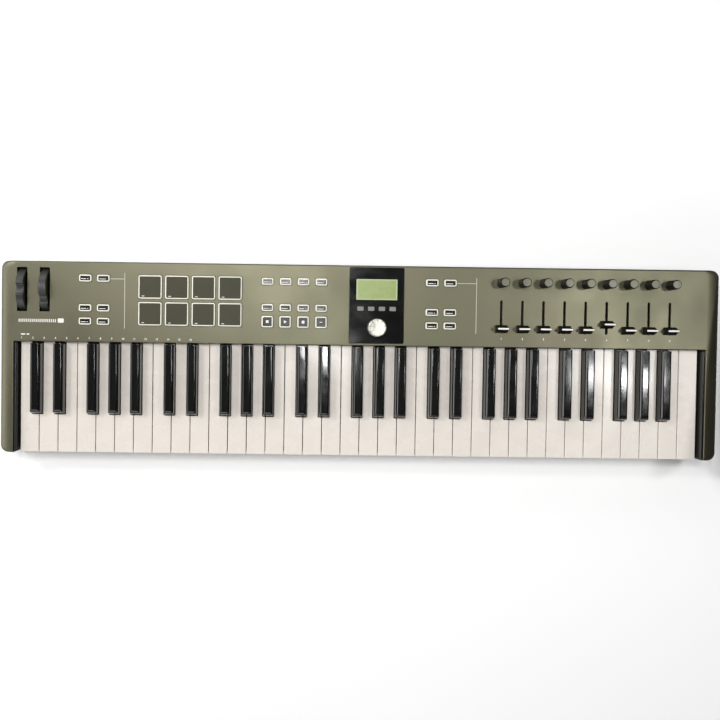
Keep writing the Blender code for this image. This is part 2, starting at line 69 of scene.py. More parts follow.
SHELL_LOW, SHELL_HIGH = node_box("top_case")
BASE_LOW, BASE_HIGH = node_box("bottom_case")
CHASSIS_LOW, CHASSIS_HIGH = node_box("key_chassis")
FASCIA_LOW, FASCIA_HIGH = node_box("display_fascia")
MODULE_LOW, MODULE_HIGH = node_box("display_module")
PAD_TOP_Z = node_box("pad_mat")[1].z
MENU_TOP_Z = node_box("button_mat_display")[1].z
BUTTON_TOP_Z = node_box("button_mat_left")[1].z
DIAL_LOW, DIAL_HIGH = node_box("encoder_knob")
KNOB_LOW, KNOB_HIGH = node_box("knob_1")
SHARP_LOW, SHARP_HIGH = node_box("keys_sharps_1")

HALF_W = SHELL_HIGH.x
HALF_D = SHELL_HIGH.y
PANEL_Z = SHELL_HIGH.z
SEAM_TOP = SHELL_LOW.z
SEAM_LOW = BASE_HIGH.z
FLOOR_Z = BASE_LOW.z

# Driving dimensions of the case
CORNER_R = 9.0
WALL = 2.6
CHEEK_IN = 429.0
PANEL_FRONT = 19.0
LIP_BOTTOM = 45.5
FRONT_WALL_Z = 11.5
END_CURVE = (17.0, 6.0)
REAR_CURVE = 2.0
FLOOR_T = 2.5

# Keys
OCTAVES = 5
KEY_PITCH = 23.5
KEY_GAP = 0.9
SHARP_SLOT = 14.5
SHARP_W = 13.5
NATURAL_TOP = 42.2
SHARP_FRONT = -70.5
SHARP_REAR = 17.3
KEY_FRONT = -118.3
KEY_REAR = 24.5
SPINE_Y = (42.0, 50.0)
SPINE_T = 2.8
SPINE_Z = {"naturals_a": 25.8, "naturals_b": 29.0, "sharps": 32.2}

# Panel layout
WHEEL_R = 29.0
WHEEL_LOW_R = 20.0
WHEEL_SLOT = (12.4, 54.0)
WHEEL_REST = {"pitch_wheel": 0.0, "mod_wheel": 0.48}
WHEEL_SET = 0.7  # the rims stand this far left of their CAD nodes
WHEEL_HALF = 5.0
AXLE_R = 2.4
WHEEL_Y = 83.4
WHEEL_Z = 30.7
PAD_X = -261.2
PAD_PITCH = 32.85
PAD_ROWS = (88.0, 55.1)
PAD_SIZE = 28.8
LEFT_X = (-341.2, -318.9)
RIGHT_X = (87.0, 109.5)
SIDE_ROWS = (98.0, 61.5, 45.0)
SIDE_KEY = (15.5, 8.7)
MID_X = -116.5
MID_PITCH = 22.15
MID_ROWS = (97.1, 64.7, 47.4)
MID_KEY = (14.3, 8.7)
CENTRE_X = (FASCIA_LOW.x + FASCIA_HIGH.x) / 2
GLASS = (50.6, 25.5)
GLASS_Y = 88.8
MENU_PITCH = 13.3
MENU_Y = 65.0
MENU_KEY = (8.0, 5.5)
DIAL_Y = (DIAL_LOW.y + DIAL_HIGH.y) / 2
DIAL_R = (DIAL_HIGH.x - DIAL_LOW.x) / 2
STRIPS = 9
KNOB_Y = (KNOB_LOW.y + KNOB_HIGH.y) / 2
KNOB_R = (KNOB_HIGH.x - KNOB_LOW.x) / 2
FADER_SLOT = (37.2, 77.2)
CAP_BASE = 50.7
PANEL_HOLE_DEPTH = 5
STRIP_X = (424.9, 428.6)
SOCKETS = ("midi_socket", "usb_socket", "pedal_socket")
PRINT_T = 0.04


# Outlines

def turns(count):
    """The angles of a full circle in equal steps."""
    return [2 * math.pi * i / count for i in range(count)]


def rounded(x0, x1, y0, y1, radius, steps=4):
    """A rectangle with round corners, anticlockwise."""
    outline = []
    for x, y, start in ((x1, y0, -90), (x1, y1, 0), (x0, y1, 90), (x0, y0, 180)):
        cx = x - radius if x == x1 else x + radius
        cy = y - radius if y == y1 else y + radius
        for i in range(steps + 1):
            angle = math.radians(start + 90 * i / steps)
            outline.append((cx + radius * math.cos(angle), cy + radius * math.sin(angle)))
    return outline


def spot(cx, cy, width, depth, radius, steps=4):
    """A function of inset that gives a rounded rectangle about a centre."""
    def outline(inset):
        w = width / 2 - inset
        d = depth / 2 - inset
        return rounded(cx - w, cx + w, cy - d, cy + d, max(radius - inset, 0.05), steps)
    return outline


def disc(cx, cy, radius, count=32):
    """A function of inset that gives a circle."""
    def outline(inset):
        r = radius - inset
        return [(cx + r * math.cos(a), cy + r * math.sin(a)) for a in turns(count)]
    return outline


def soften(corners, radius, inset, steps=3):
    """Rounds the corners of an anticlockwise outline that is already inset."""
    outline = []
    count = len(corners)
    for i, corner in enumerate(corners):
        here = Vector(corner)
        before = (Vector(corners[i - 1]) - here).normalized()
        after = (Vector(corners[(i + 1) % count]) - here).normalized()
        convex = before.x * after.y - before.y * after.x < 0
        r = max(radius - inset, 0.05) if convex else radius + inset
        centre = here + (before + after) * r
        first = here + before * r - centre
        last = here + after * r - centre
        for k in range(steps + 1):
            t = k / steps * math.pi / 2
            point = centre + first * math.cos(t) + last * math.sin(t)
            outline.append((point.x, point.y))
    return outline


def quarter(across, down, steps):
    """Insets and depths of a quarter ellipse, from the side to the face."""
    angles = [math.pi / 2 * i / steps for i in range(steps + 1)]
    return [(across * (1 - math.cos(a)), down * (1 - math.sin(a))) for a in angles]


def slab(outline, z0, z1, top=0.0, bottom=0.0, steps=3):
    """Rings of a slab whose edges are rounded by these radii."""
    levels = [(0, z0)]
    if bottom:
        levels = [(inset, z0 + drop) for inset, drop in reversed(quarter(bottom, bottom, steps))]
    levels += [(inset, z1 - drop) for inset, drop in quarter(top, top, steps)] if top else [(0, z1)]
    return [[(x, y, z) for x, y in outline(inset)] for inset, z in levels]


def flare(outline, z0, z1, radius, steps=3):
    """Rings of a cutter that leaves a rounded edge round the hole at z1."""
    levels = [(0, z0)]
    levels += [(-inset, z1 - drop * 1.02 + 0.01) for inset, drop in quarter(radius, radius, steps)]
    levels.append((-radius, z1 + 3))
    return [[(x, y, z) for x, y in outline(inset)] for inset, z in levels]


def turned(cx, cy, profile, count=48):
    """Rings of a round piece from (radius, z) pairs."""
    return [[(cx + r * math.cos(a), cy + r * math.sin(a), z) for a in turns(count)] for r, z in profile]


def block(x0, x1, y0, y1, z0, z1):
    return [[(x0, y0, z), (x1, y0, z), (x1, y1, z), (x0, y1, z)] for z in (z0, z1)]


def upright(rings, y):
    """Rings drawn in XY along Z, stood up so that their Z becomes depth along Y from this plane."""
    return [[(px, y + pz, py) for px, py, pz in ring] for ring in rings]


# Mesh making

def mesh_of(name, lofts, looks=None):
    """Closed skins over lists of rings. looks gives each loft's material per band, last one the top cap."""
    whole = bmesh.new()
    for number, rings in enumerate(lofts):
        bands = looks[number] if looks else None
        count = len(rings[0])
        made = [[whole.verts.new(Vector(p) * MM) for p in ring] for ring in rings]
        skin = [whole.faces.new(made[0]), whole.faces.new(made[-1])]
        if bands:
            skin[0].material_index = bands[0]
            skin[1].material_index = bands[-1]
        for level in range(len(rings) - 1):
            for i in range(count):
                j = (i + 1) % count
                side = whole.faces.new((made[level][i], made[level][j],
                                        made[level + 1][j], made[level + 1][i]))
                side.material_index = bands[level + 1] if bands else 0
                skin.append(side)
        bmesh.ops.recalc_face_normals(whole, faces=skin)
    data = bpy.data.meshes.new(name)
    whole.to_mesh(data)
    whole.free()
    return data


def new_object(name, data):
    made = bpy.data.objects.new(name, data)
    bpy.context.scene.collection.objects.link(made)
    return made


def settle(made):
    """Applies the modifiers of an object to its mesh."""
    bpy.context.view_layer.update()
    graph = bpy.context.evaluated_depsgraph_get()
    data = bpy.data.meshes.new_from_object(made.evaluated_get(graph))
    made.modifiers.clear()
    old = made.data
    made.data = data
    bpy.data.meshes.remove(old)


def combine(made, kind, lofts):
    """Cuts solids from a piece, or joins them to it. The solids of one call don't overlap."""
    helper = new_object("helper", mesh_of("helper", lofts))
    step = made.modifiers.new(kind, "BOOLEAN")
    step.operation = kind
    step.solver = "EXACT"
    step.object = helper
    settle(made)
    data = helper.data
    bpy.data.objects.remove(helper)
    bpy.data.meshes.remove(data)


def smooth(made, degrees=38.0):
    """Smooth shading that keeps flat faces flat and edges crisp."""
    made.data.shade_smooth()
    made.data.set_sharp_from_angle(angle=math.radians(degrees))
    step = made.modifiers.new("normals", "WEIGHTED_NORMAL")
    step.keep_sharp = True


def piece(name, lofts, body, materials, replaces=(), looks=None, cuts=(), joins=(), angle=38.0):
    """One finished piece: a closed skin, cut and joined, shaded, riding on its body."""
    made = new_object(name, mesh_of(name, lofts, looks))
    for look in materials:
        made.data.materials.append(look)
    for group in joins:
        combine(made, "UNION", group)
    for group in cuts:
        combine(made, "DIFFERENCE", group)
    return dress(made, body, replaces, angle)


def dress(made, body, replaces=(), angle=38.0, look=None):
    """Shades a piece and hands it to its body; look is for one that has no material yet."""
    if look:
        made.data.materials.append(look)
    smooth(made, angle)
    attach(made, body)
    if replaces:
        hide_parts(*replaces)
    return made


# Materials

class Look:
    """A procedural material under construction, on the coordinates of its own object."""

    def __init__(self, name, colour, roughness, metallic=0.0):
        self.material = bpy.data.materials.new(name)
        self.material.use_nodes = True
        self.tree = self.material.node_tree
        self.shader = self.tree.nodes["Principled BSDF"]
        self.colour = colour
        self.shader.inputs["Base Color"].default_value = (*colour, 1)
        self.shader.inputs["Roughness"].default_value = roughness
        self.shader.inputs["Metallic"].default_value = metallic
        self.place = self.node("ShaderNodeTexCoord").outputs["Object"]
        self.normal = None

    def node(self, kind, **values):
        made = self.tree.nodes.new(kind)
        for key, value in values.items():
            setattr(made, key, value)
        return made

    def link(self, output, target):
        self.tree.links.new(output, target)

    def noise(self, scale, detail=2.0, stretch=(1, 1, 1)):
        spread = self.node("ShaderNodeMapping")
        spread.inputs["Scale"].default_value = stretch
        self.link(self.place, spread.inputs["Vector"])
        made = self.node("ShaderNodeTexNoise")
        made.inputs["Scale"].default_value = scale
        made.inputs["Detail"].default_value = detail
        self.link(spread.outputs["Vector"], made.inputs["Vector"])
        return made.outputs[0]

    def span(self, value, low, high, start=0.3, stop=0.7):
        """The value from start to stop, mapped onto low to high."""
        made = self.node("ShaderNodeMapRange")
        for key, number in zip(("From Min", "From Max", "To Min", "To Max"), (start, stop, low, high)):
            made.inputs[key].default_value = number
        self.link(value, made.inputs["Value"])
        return made.outputs["Result"]

    def math(self, operation, first, second=None):
        made = self.node("ShaderNodeMath", operation=operation)
        for slot, value in enumerate((first, second)):
            if value is None:
                continue
            if isinstance(value, (int, float)):
                made.inputs[slot].default_value = value
            else:
                self.link(value, made.inputs[slot])
        return made.outputs[0]

    def blend(self, share, first, second):
        """A colour between two, by a share from 0 to 1."""
        made = self.node("ShaderNodeMix", data_type="RGBA")
        self.link(share, made.inputs["Factor"])
        for slot, value in (("A", first), ("B", second)):
            target = [s for s in made.inputs if s.name == slot and s.type == "RGBA"][0]
            if isinstance(value, tuple):
                target.default_value = (*value, 1)
            else:
                self.link(value, target)
        return [s for s in made.outputs if s.type == "RGBA"][0]

    def tint(self, output):
        self.link(output, self.shader.inputs["Base Color"])
        return self

    def mottle(self, amount, scale=14.0, detail=3.0, stretch=(1, 1, 1)):
        """Slow variation of the colour, brighter and darker by this share."""
        low = tuple(c * (1 - amount) for c in self.colour)
        high = tuple(min(c * (1 + amount), 1.0) for c in self.colour)
        return self.tint(self.blend(self.span(self.noise(scale, detail, stretch), 0, 1), low, high))

    def rub(self, low, high, scale=30.0, detail=4.0, stretch=(1, 1, 1)):
        """Roughness that changes over the surface, as handling leaves it."""
        self.link(self.span(self.noise(scale, detail, stretch), low, high), self.shader.inputs["Roughness"])
        return self

    def bump(self, height, depth, strength=1.0):
        made = self.node("ShaderNodeBump")
        made.inputs["Strength"].default_value = strength
        made.inputs["Distance"].default_value = depth * MM
        self.link(height, made.inputs["Height"])
        if self.normal:
            self.link(self.normal, made.inputs["Normal"])
        self.normal = made.outputs["Normal"]
        self.link(self.normal, self.shader.inputs["Normal"])
        return self

    def grain(self, size, depth, detail=2.0, stretch=(1, 1, 1)):
        """Fine relief with grains of this size, in millimetres."""
        return self.bump(self.noise(1 / (size * MM), detail, stretch), depth)

    def set(self, **values):
        for key, value in values.items():
            self.shader.inputs[key.replace("_", " ")].default_value = value
        return self

    def axes(self):
        made = self.node("ShaderNodeSeparateXYZ")
        self.link(self.place, made.inputs["Vector"])
        return made.outputs["X"], made.outputs["Y"], made.outputs["Z"]


def plastic(name, colour, rough, grain, depth, mottle=0.06, metallic=0.0):
    look = Look(name, colour, sum(rough) / 2, metallic)
    look.mottle(mottle).rub(*rough).grain(grain, depth)
    return look


def panel_look():
    """Satin bronze-olive paint over moulded plastic, with a very fine metal grain."""
    look = Look("olive_paint", (0.15, 0.147, 0.10), 0.42, 0.88)
    flakes = look.span(look.noise(1 / (0.5 * MM), 1.0), 0, 1, 0.35, 0.65)
    green = look.blend(flakes, (0.125, 0.125, 0.080), (0.157, 0.155, 0.104))
    brown = look.blend(flakes, (0.134, 0.125, 0.085), (0.166, 0.154, 0.108))
    look.tint(look.blend(look.span(look.noise(7.0, 3.0), 0, 1), green, brown))
    look.rub(0.38, 0.47, 18.0)
    return look.grain(0.35, 0.012).grain(2.5, 0.01)


def key_look():
    look = Look("white_key", (0.78, 0.725, 0.66), 0.24)
    look.mottle(0.025, 22.0).rub(0.2, 0.34, 45.0).grain(0.6, 0.004).grain(9.0, 0.02)
    return look.set(Coat_Weight=0.25, Coat_Roughness=0.12)


def sharp_look():
    look = Look("sharp_key", (0.0025, 0.003, 0.0025), 0.1)
    look.mottle(0.25, 40.0).rub(0.06, 0.15, 60.0).grain(9.0, 0.03)
    return look.set(Specular_IOR_Level=0.85)


def gloss_look():
    """Polished fascia with faint wiping marks."""
    look = Look("gloss_black", (0.005, 0.0055, 0.005), 0.1)
    look.mottle(0.3, 30.0).rub(0.05, 0.17, 26.0, 6.0, (1, 2.2, 1)).grain(12.0, 0.02)
    return look


def spun_look():
    """Turned aluminium: circular grain that throws radial highlights, with dark radial wedges painted into
    the colour as a reflection; the same wedges vary the roughness.
    """
    look = Look("spun_aluminium", (0.90, 0.90, 0.87), 0.28, 0.45)
    x, y, _ = look.axes()
    radius = look.math("SQRT", look.math("ADD", look.math("MULTIPLY", x, x), look.math("MULTIPLY", y, y)))
    rings = look.math("SINE", look.math("MULTIPLY", radius, 2 * math.pi / (0.25 * MM)))
    angle = look.math("ARCTAN2", y, x)
    # Painted reflection: dark radial wedges in the colour stand in for the reflections on the spun top.
    painted_wedges = look.math("SINE", look.math("MULTIPLY", angle, 9.0))
    look.tint(look.blend(look.span(painted_wedges, 0, 1, 0.1, 0.95), (0.76, 0.76, 0.69), (0.38, 0.38, 0.29)))
    look.link(look.span(painted_wedges, 0.2, 0.34, -1, 1), look.shader.inputs["Roughness"])
    look.bump(rings, 0.004)
    tangent = look.node("ShaderNodeTangent", direction_type="RADIAL", axis="Z")
    look.link(tangent.outputs["Tangent"], look.shader.inputs["Tangent"])
    return look.set(Anisotropic=0.6)


def screen_look():
    """A backlit dot-matrix screen with nothing written on it."""
    look = Look("screen", (0.40, 0.50, 0.20), 0.3)
    x, y, _ = look.axes()
    dots = []
    for axis in (x, y):
        phase = look.math("FRACT", look.math("MULTIPLY", axis, 1 / (0.4 * MM)))
        dots.append(look.math("ABSOLUTE", look.math("SUBTRACT", phase, 0.5)))
    mesh = look.span(look.math("MAXIMUM", *dots), 0, 1, 0.38, 0.46)
    active = look.blend(mesh, (0.275, 0.345, 0.120), (0.33, 0.40, 0.155))
    edges = []
    for axis, middle, half in ((x, CENTRE_X, GLASS[0] / 2 - 1.5), (y, GLASS_Y, GLASS[1] / 2 - 1.3)):
        away = look.math("ABSOLUTE", look.math("SUBTRACT", axis, middle * MM))
        edges.append(look.math("DIVIDE", away, half * MM))
    border = look.span(look.math("MAXIMUM", *edges), 0, 1, 0.985, 1.01)
    colour = look.blend(border, active, (0.46, 0.54, 0.29))
    look.tint(colour)
    look.link(colour, look.shader.inputs["Emission Color"])
    look.rub(0.2, 0.34, 60.0)
    return look.set(Emission_Strength=0.06, Coat_Weight=0.6, Coat_Roughness=0.08)


def felt_look():
    look = Look("red_felt", (0.25, 0.03, 0.03), 0.95)
    look.mottle(0.35, 700.0, 4.0).grain(0.35, 0.25, 4.0)
    return look.set(Sheen_Weight=0.5)


def board_look(name, mask, line):
    """Solder mask with copper tracks showing through as lighter lines."""
    look = Look(name, mask, 0.35)
    x = look.axes()[0]
    track = look.math("ABSOLUTE", look.math("SINE", look.math("MULTIPLY", x, math.pi / (2.2 * MM))))
    lines = look.span(track, 0, 1, 0.93, 0.97)
    look.tint(look.blend(lines, mask, line))
    return look.rub(0.28, 0.45).bump(lines, 0.03)


PANEL = panel_look().material
IVORY = key_look().material
JET = sharp_look().material
GLOSS = gloss_look().material
SPUN = spun_look().material
SCREEN = screen_look().material
FELT = felt_look().material
BOARD = board_look("green_board", (0.015, 0.10, 0.04), (0.05, 0.22, 0.08)).material
DARK_BOARD = board_look("black_board", (0.004, 0.004, 0.004), (0.010, 0.010, 0.010)).material
BASE = plastic("black_shell", (0.020, 0.020, 0.019), (0.42, 0.6), 0.55, 0.05, 0.15).material
STRIP = plastic("black_strip", (0.010, 0.010, 0.009), (0.28, 0.4), 0.8, 0.012, 0.12).material
WHEEL = plastic("dark_wheel", (0.036, 0.038, 0.034), (0.3, 0.42), 0.45, 0.02, 0.08, 0.1).material
# The wheel sides are the same plastic as the rim; this near-black copy of it is painted shade.
WHEEL_SIDE_SHADE = plastic("wheel_side_painted_shade", (0.006, 0.006, 0.0055), (0.4, 0.6), 0.45, 0.02, 0.15).material
KNOB = plastic("knob_black", (0.004, 0.004, 0.0035), (0.3, 0.42), 0.4, 0.02, 0.15).set(
    Specular_IOR_Level=0.25).material
CAP = plastic("knob_cap", (0.15, 0.148, 0.115), (0.38, 0.46), 0.3, 0.01, 0.05, 0.6).material
CREAM = plastic("cream_silicone", (0.82, 0.81, 0.71), (0.38, 0.55), 0.5, 0.01, 0.04).set(
    Coat_Weight=0.15).material
PAD_TOP = plastic("pad_top", (0.062, 0.059, 0.038), (0.42, 0.55), 0.5, 0.015, 0.08).set(
    Specular_IOR_Level=0.15).material
BUTTON_TOP = plastic("button_top", (0.014, 0.014, 0.011), (0.16, 0.3), 0.6, 0.008, 0.15).material
GREY_KEY = plastic("grey_silicone", (0.20, 0.20, 0.18), (0.35, 0.5), 0.5, 0.01, 0.06).material
INK = plastic("print_white", (0.84, 0.83, 0.76), (0.45, 0.6), 0.2, 0.004, 0.05).material
PALE_INK = plastic("print_pale", (0.52, 0.50, 0.42), (0.45, 0.6), 0.2, 0.004, 0.05).material
# Black rubber for the feet and the contact rubber; on the mat sheets it is painted shade in the gaps round
# the caps.
RUBBER_AND_GAP_SHADE = plastic("black_rubber", (0.018, 0.018, 0.018), (0.7, 0.9), 0.4, 0.04, 0.2).material
STEEL = plastic("plated_steel", (0.60, 0.60, 0.58), (0.22, 0.38), 0.6, 0.01, 0.05, 1.0).material


# Case

def pad_spots():
    return [(PAD_X + PAD_PITCH * i, y) for y in PAD_ROWS for i in range(4)]


def strip_x(number):
    low, high = node_box(f"knob_{number}")
    return (low.x + high.x) / 2


def side_spots(columns):
    return [(x, y, *SIDE_KEY) for y in SIDE_ROWS for x in columns]


def mid_spots():
    depths = (MID_KEY[1], MID_KEY[1], MID_KEY[0])
    return [(MID_X + MID_PITCH * i, y, MID_KEY[0], d) for y, d in zip(MID_ROWS, depths) for i in range(4)]


def menu_spots():
    return [(CENTRE_X + MENU_PITCH * (i - 1.5), MENU_Y, *MENU_KEY) for i in range(4)]


def case_rings(levels):
    """Rings of the case outline from (end inset, side inset, z)."""
    rings = []
    for end, side, z in levels:
        radius = max(CORNER_R - min(end, side), 1.5)
        rings.append([(x, y, z) for x, y in
                      rounded(-HALF_W + end, HALF_W - end, -HALF_D + side, HALF_D - side, radius, 8)])
    return rings


def shell_levels():
    """The ends fall away in a long curve and the long sides in a short one."""
    levels = [(0.5, 0.5, SEAM_TOP), (0.0, 0.0, SEAM_TOP + 0.5)]
    across, down = END_CURVE
    for i in range(11):
        angle = math.pi / 2 * i / 10
        z = PANEL_Z - down * (1 - math.sin(angle))
        rise = max(0.0, (z - (PANEL_Z - REAR_CURVE)) / REAR_CURVE)
        side = REAR_CURVE * (1 - math.sqrt(max(0.0, 1 - rise * rise)))
        levels.append((across * (1 - math.cos(angle)), side, z))
    return levels


def socket_cut(name, spare, z_from):
    """A cutter through the back wall round a socket's own box."""
    low, high = node_box(name)
    width = high.x - low.x + 2 * spare
    height = high.z - low.z + 2 * spare
    hole = spot((low.x + high.x) / 2, (low.z + high.z) / 2, width, height, 1.2)
    return upright(flare(hole, z_from, 0.0, 0.5), HALF_D)


def top_shell():
    """The olive top case, hollow, with its key well and every opening of the panel."""
    inner_front = PANEL_FRONT + WALL
    well = spot(0, (PANEL_FRONT - HALF_D - 30) / 2, 2 * CHEEK_IN, PANEL_FRONT + HALF_D + 30, 0.8)
    cavity = [block(-HALF_W + WALL + 8, HALF_W - WALL - 8, inner_front, HALF_D - WALL,
                    SEAM_TOP - 2, PANEL_Z - WALL)]
    lip = [block(-CHEEK_IN, CHEEK_IN, PANEL_FRONT - 1, inner_front + 1, SEAM_TOP - 2, LIP_BOTTOM)]
    cheeks = []
    for side in (-1, 1):
        ends = sorted((side * (CHEEK_IN + WALL), side * (HALF_W - WALL)))
        cheeks.append(block(*ends, -HALF_D + WALL + 1, HALF_D - WALL - 3, SEAM_TOP - 2, PANEL_Z - WALL - 4))
    holes = []
    for name in ("pitch_wheel", "mod_wheel"):
        low, high = node_box(name)
        holes.append((spot((low.x + high.x) / 2, WHEEL_Y, *WHEEL_SLOT, 0.8), 0.5))
    for x, y in pad_spots():
        holes.append((spot(x, y, PAD_SIZE + 0.8, PAD_SIZE + 0.8, 2.4), 0.35))
    for x, y, w, d in side_spots(LEFT_X) + side_spots(RIGHT_X) + mid_spots():
        holes.append((spot(x, y, w + 0.8, d + 0.8, 2.4), 0.35))
    for number in range(1, STRIPS + 1):
        x = strip_x(number)
        holes.append((disc(x, KNOB_Y, 3.7), 0.3))
        holes.append((spot(x, sum(FADER_SLOT) / 2, 2.7, FADER_SLOT[1] - FADER_SLOT[0], 1.3), 0.6))
    under = PANEL_Z - PANEL_HOLE_DEPTH
    cuts = [flare(outline, under, PANEL_Z, radius) for outline, radius in holes]
    bed = spot(CENTRE_X, (FASCIA_LOW.y + FASCIA_HIGH.y) / 2, FASCIA_HIGH.x - FASCIA_LOW.x + 0.6,
               FASCIA_HIGH.y - FASCIA_LOW.y + 0.6, 1.8)
    below = [slab(spot(CENTRE_X, GLASS_Y, GLASS[0] + 1.6, GLASS[1] + 1.6, 1), under, PANEL_Z),
             slab(spot(CENTRE_X, MENU_Y, MENU_PITCH * 3 + 10, MENU_KEY[1] + 2, 1), under, PANEL_Z),
             slab(disc(CENTRE_X, DIAL_Y, DIAL_R + 1.6), under, PANEL_Z)]
    sockets = [socket_cut(name, 0.35, -WALL - 2) for name in SOCKETS]
    made = new_object("top_shell", mesh_of("top_shell", [case_rings(shell_levels())]))
    for group in ([flare(well, SEAM_TOP - 2, PANEL_Z, 1.3, 4)], lip, cheeks, cavity,
                  cuts + [flare(bed, PANEL_Z - 1.4, PANEL_Z, 0.5)], below, sockets):
        combine(made, "DIFFERENCE", group)
    dress(made, "housing", ["top_case"], look=PANEL)


def screw_spots():
    edge = [(x, y) for x in (-415, -250, -85, 85, 250, 415) for y in (-60, 70)]
    return edge + [(x, 10) for x in (-330, 0, 330)]


def bottom_shell():
    """The black bottom case, hollow, with wells for the screws and a sunk plate."""
    edge = 1.6
    levels = [(edge * (1 - math.sin(a)), edge * (1 - math.sin(a)), FLOOR_Z + edge * (1 - math.cos(a)))
              for a in (math.pi / 2 * i / 4 for i in range(5))]
    levels += [(0, 0, SEAM_LOW - 0.5), (0.5, 0.5, SEAM_LOW)]
    inner = case_rings([(WALL, WALL, FLOOR_Z + FLOOR_T), (WALL, WALL, SEAM_LOW + 5)])
    front = [block(-CHEEK_IN, CHEEK_IN, -HALF_D - 5, -HALF_D + WALL + 2, FRONT_WALL_Z, SEAM_LOW + 5)]
    well = [(4.6, FLOOR_Z - 2), (4.6, FLOOR_Z + 0.1), (3.9, FLOOR_Z + 0.8), (3.9, FLOOR_Z + 1.7)]
    wells = [turned(x, y, well, 32) for x, y in screw_spots()]
    plate = [slab(spot(180, -20, 110, 46, 3), FLOOR_Z - 2, FLOOR_Z + 0.4)]
    made = new_object("bottom_shell", mesh_of("bottom_shell", [case_rings(levels)]))
    for group in ([inner], front, wells + plate):
        combine(made, "DIFFERENCE", group)
    dress(made, "housing", ["bottom_case"], look=BASE)


def case_screws():
    """Pan heads with a cross recess, sunk in the wells of the base."""
    heads = []
    crosses = []
    for x, y in screw_spots():
        heads.append(turned(x, y, [(2.0, FLOOR_Z + 0.15), (3.0, FLOOR_Z + 0.4), (3.4, FLOOR_Z + 0.9),
                                   (3.4, FLOOR_Z + 1.6)], 32))
        crosses.append(block(x - 1.7, x + 1.7, y - 0.4, y + 0.4, FLOOR_Z - 1, FLOOR_Z + 0.8))
    bars = [block(x - 0.4, x + 0.4, y - 1.7, y + 1.7, FLOOR_Z - 1, FLOOR_Z + 0.8) for x, y in screw_spots()]
    piece("case_screws", heads, "housing", [STEEL], cuts=[crosses, bars])


def end_strips():
    """The walls of the key bed that show between the end keys and the cheeks."""
    front, top = CHASSIS_LOW.y + 0.3, CHASSIS_HIGH.z
    inner, outer = STRIP_X
    middle = (inner + outer) / 2
    profile = [(inner + 0.2, 12.4), (inner, 13.0), (inner, 40.0), (inner + 0.5, 47.2),
               (inner + 1.0, top - 0.7), (inner + 1.8, top - 0.15), (inner + 2.6, top),
               (outer - 0.5, top - 0.2), (outer, top - 0.8), (outer, 13.0), (outer - 0.2, 12.4)]
    for name, side in (("end_strip_left", -1), ("end_strip_right", 1)):
        rings = []
        for y, shrink in ((front, 0.8), (front + 0.25, 0.25), (front + 0.9, 0.0), (17.4, 0.0)):
            rings.append([(side * (middle + (x - middle) * (1 - shrink / 2)), y, z - shrink * (z > 20))
                          for x, z in profile])
        piece(name, [rings], "housing", [STRIP], angle=50)


def key_bed():
    """The moulded bed under the keys, with its hinge rail and the ribs that hold the contact board."""
    plate_z = CHASSIS_LOW.z
    end = 427.0
    plate = slab(spot(0, -30.75, 2 * end, 165.5, 2), plate_z, plate_z + 2, 0.4)
    rail = slab(spot(0, 46, 848, 9, 1), 23, 25.2, 0.4)
    web = block(-424, 424, 44.6, 47.4, plate_z + 1, 24)
    ribs = [block(-420, 420, y, y + 3, plate_z + 1, 13.2) for y in (-49, -5)]
    piece("key_bed", [plate], "housing", [BASE], ["key_chassis"],
          joins=[[web], [rail], ribs])


def feet():
    for number in range(1, 5):
        low, high = node_box(f"foot_{number}")
        x, y = (low.x + high.x) / 2, (low.y + high.y) / 2
        r = (high.x - low.x) / 2
        profile = [(1.6, 0.5), (2.0, 0.1), (2.4, 0.0), (r - 1.6, 0.0), (r - 0.7, 0.25),
                   (r - 0.15, 0.9), (r, 1.8), (r, high.z)]
        piece(f"foot_pad_{number}", [turned(x, y, profile)], "housing", [RUBBER_AND_GAP_SHADE],
              [f"foot_{number}"])


# Sockets

def socket_body(name, corner, face, edge):
    """The body of a socket, with its face at this depth from the back of the case."""
    low, high = node_box(name)
    outline = spot((low.x + high.x) / 2, (low.z + high.z) / 2, high.x - low.x, high.z - low.z, corner)
    return upright(slab(outline, low.y - high.y, face, edge), high.y)


def socket_ring(name, x, z, back, section):
    """A metal ring in a socket's mouth, from (radius, depth) pairs."""
    hoop = new_object(name, tube_mesh(name, upright(turned(x, z, section), back)))
    dress(hoop, "housing", look=STEEL)


def sockets():
    low, high = node_box("midi_socket")
    x, z = (low.x + high.x) / 2, low.z + 9.3
    bore = upright(flare(disc(x, z, 7.2, 48), -10, 0.0, 0.5), high.y)
    piece("midi_body", [socket_body("midi_socket", 1.0, 0.0, 0.5)], "housing", [STRIP],
          ["midi_socket"], cuts=[[bore]])
    socket_ring("midi_ring", x, z, high.y, [(6.6, -0.4), (7.1, -0.4), (7.1, -9.6), (6.6, -9.6)])

    low, high = node_box("usb_socket")
    x, z = (low.x + high.x) / 2, low.z + 5.5
    mouth = upright(flare(spot(x, z, 8.6, 7.8, 1.2), -10, 0.0, 0.3), high.y)
    piece("usb_body", [socket_body("usb_socket", 0.6, 0.0, 0.3)], "housing", [STEEL],
          ["usb_socket"], cuts=[[mouth]])

    low, high = node_box("pedal_socket")
    x, z = (low.x + high.x) / 2, low.z + 7.0
    bore = upright(flare(disc(x, z, 3.3, 48), -25, -0.5, 0.3), high.y)
    piece("pedal_body", [socket_body("pedal_socket", 1.0, -0.5, 0.5)], "housing", [STRIP],
          ["pedal_socket"], cuts=[[bore]])
    socket_ring("pedal_ring", x, z, high.y,
                [(3.35, -0.45), (3.35, -0.1), (3.6, 0.0), (5.4, 0.0), (5.8, -0.2), (5.8, -0.45)])


